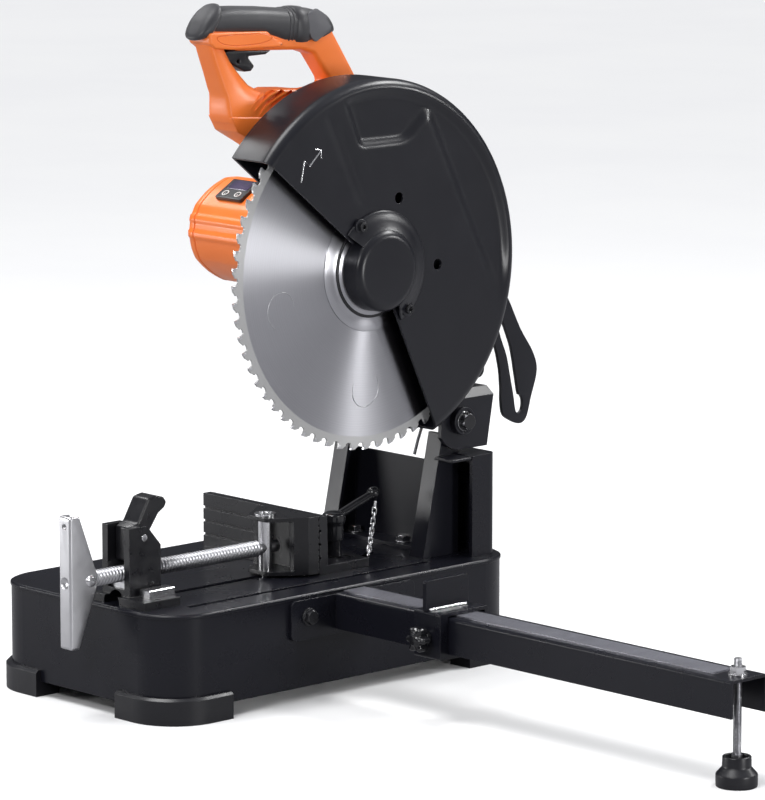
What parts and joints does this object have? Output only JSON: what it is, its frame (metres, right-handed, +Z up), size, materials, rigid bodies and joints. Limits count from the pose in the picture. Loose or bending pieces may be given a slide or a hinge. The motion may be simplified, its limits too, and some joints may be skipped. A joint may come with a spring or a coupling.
{
  "type": "chop saw",
  "caption": "Bench chop saw: tilting head with blade, guard and motor over a pressed base with fence, screw vise and support arm.",
  "frame": {"origin": "on the floor under the middle of the base's plan rectangle", "axes": "+X out along the support arm, +Y back to the head's hinge, +Z up"},
  "size_m": [0.7988, 0.6253, 0.668],
  "materials": {
    "base_black": "black powder coat, fine texture",
    "stand_black": "black powder coat, satin",
    "guard_black": "black paint, smooth satin",
    "zinc_steel": "zinc plated, bright",
    "bare_steel": "machined steel",
    "black_oxide": "black oxide, satin",
    "cast_black": "black enamel on cast iron",
    "cast_aluminium": "die cast, matt",
    "fence_alloy": "dark anodised extrusion",
    "blade_steel": "ground disc with carbide teeth",
    "bronze": "sintered bush",
    "orange_plastic": "moulded housing",
    "black_plastic": "moulded, fine texture",
    "grip_rubber": "soft overmould",
    "foot_rubber": "moulded foot",
    "white_plastic": "button caps",
    "copper_iron": "laminations and windings"
  },
  "bodies": {
    "base": {"base_shell": "base_black", "base_feet": "foot_rubber", "hinge_bracket": "stand_black", "pivot_bushes": "bronze", "rear_post": "base_black", "hex_bolts": "zinc_steel", "return_spring": "zinc_steel", "support_bracket": "base_black", "support_channel": "base_black", "channel_strip": "zinc_steel", "channel_nuts": "zinc_steel", "vise_bracket": "cast_black", "half_nut": "bare_steel", "clamp_bar": "zinc_steel"},
    "stop": {"stop_sleeve": "base_black", "stop_plate": "base_black"},
    "stop_knob": {"star_knob": "black_plastic"},
    "level_pad": {"levelling_pad": "foot_rubber"},
    "level_screw": {"levelling_screw": "zinc_steel"},
    "fence": {"fence": "fence_alloy", "fence_bolts": "black_oxide", "lock_chain": "zinc_steel"},
    "fence_lever": {"lock_lever": "black_oxide"},
    "nut_lever": {"flip_lever": "cast_black"},
    "jaw": {"vise_jaw": "cast_black", "jaw_pin": "zinc_steel"},
    "crank": {"vise_screw": "zinc_steel", "crank_handle": "zinc_steel"},
    "head": {"arm_bracket": "stand_black", "arm_boom": "cast_black", "pivot_shaft": "black_oxide", "slotted_plate": "stand_black", "blade_guard": "guard_black", "guard_back": "guard_black", "hub_cover": "guard_black", "cover_screws": "black_oxide", "gearbox_housing": "cast_aluminium", "motor_flange": "cast_aluminium", "bearings": "bare_steel", "motor_housing": "orange_plastic", "motor_end_cap": "orange_plastic", "display_panel": "black_plastic", "stator": "copper_iron", "brush_holders": "bronze", "handle_left": "orange_plastic", "handle_right": "orange_plastic", "handle_grip": "grip_rubber", "switch_block": "black_plastic"},
    "trigger": {"trigger": "black_plastic"},
    "power_button": {"power_button": "white_plastic"},
    "speed_button": {"speed_button": "white_plastic"},
    "rotor": {"rotor": "copper_iron"},
    "layshaft": {"layshaft": "bare_steel"},
    "spindle": {"spindle": "bare_steel", "saw_blade": "blade_steel", "clamp_flanges": "black_oxide", "arbor_bolt": "black_oxide"}
  },
  "joints": [
    {"name": "head_tilt", "type": "hinge", "parent": "base", "child": "head", "pos_m": [0.0125, 0.1835, 0.2407], "axis": [1, 0, 0], "range_deg": [0, 45], "stiffness_Nm_per_rad": 10.2, "springref_deg": -78.5, "deforming": ["return_spring"]},
    {"name": "fence_swivel", "type": "hinge", "parent": "base", "child": "fence", "pos_m": [-0.07, 0.055, 0.11], "axis": [0, 0, 1], "range_deg": [0, 30]},
    {"name": "lock_turn", "type": "hinge", "parent": "fence", "child": "fence_lever", "pos_m": [0.05, 0.055, 0.13], "axis": [0, 0, 1], "range_deg": [-35, 35], "deforming": ["lock_chain"]},
    {"name": "stop_slide", "type": "slide", "parent": "base", "child": "stop", "axis": [1, 0, 0], "range_m": [-0.1, 0.32]},
    {"name": "stop_knob_turn", "type": "hinge", "parent": "stop", "child": "stop_knob", "pos_m": [0.275, -0.044, 0.082], "axis": [0, 1, 0], "range_deg": [-180, 180]},
    {"name": "level_slide", "type": "slide", "parent": "base", "child": "level_pad", "axis": [0, 0, 1], "range_m": [-0.005, 0.02]},
    {"name": "level_turn", "type": "hinge", "parent": "level_pad", "child": "level_screw", "pos_m": [0.641, 0.00125, 0.06], "axis": [0, 0, 1], "range_deg": [-1441, 5761]},
    {"name": "jaw_slide", "type": "slide", "parent": "base", "child": "jaw", "axis": [0, 1, 0], "range_m": [-0.108, 0]},
    {"name": "crank_turn", "type": "hinge", "parent": "jaw", "child": "crank", "pos_m": [0.04, -0.15, 0.1335], "axis": [0, 1, 0], "range_deg": [-9720, 0]},
    {"name": "lever_flip", "type": "hinge", "parent": "base", "child": "nut_lever", "pos_m": [0.04, -0.198, 0.169], "axis": [1, 0, 0], "range_deg": [0, 50]},
    {"name": "trigger_pull", "type": "hinge", "parent": "head", "child": "trigger", "pos_m": [0.03, -0.058, 0.615], "axis": [1, 0, 0], "range_deg": [0, 8], "stiffness_Nm_per_rad": 0.15, "springref_deg": -8.59},
    {"name": "power_press", "type": "slide", "parent": "head", "child": "power_button", "axis": [0, 0.515, -0.8572], "range_m": [0, 0.0005], "stiffness_N_per_m": 800, "springref_m": -0.0005},
    {"name": "speed_press", "type": "slide", "parent": "head", "child": "speed_button", "axis": [0, 0.515, -0.8572], "range_m": [0, 0.0005], "stiffness_N_per_m": 800, "springref_m": -0.0005},
    {"name": "spindle_spin", "type": "hinge", "parent": "head", "child": "spindle", "pos_m": [0.06, 0.056, 0.406], "axis": [1, 0, 0], "continuous": true},
    {"name": "layshaft_spin", "type": "hinge", "parent": "head", "child": "layshaft", "pos_m": [0.028, 0.08366, 0.44645], "axis": [1, 0, 0], "continuous": true},
    {"name": "rotor_spin", "type": "hinge", "parent": "head", "child": "rotor", "pos_m": [-0.04, 0.056, 0.425], "axis": [1, 0, 0], "continuous": true}
  ],
  "couplings": [
    {"joint": "layshaft_spin", "follows": "spindle_spin", "ratio": -3.6667},
    {"joint": "rotor_spin", "follows": "spindle_spin", "ratio": 13.444},
    {"joint": "jaw_slide", "follows": "crank_turn", "m_per_rad": 0.00063662},
    {"joint": "level_turn", "follows": "level_slide", "rad_per_m": 5026.5}
  ]
}
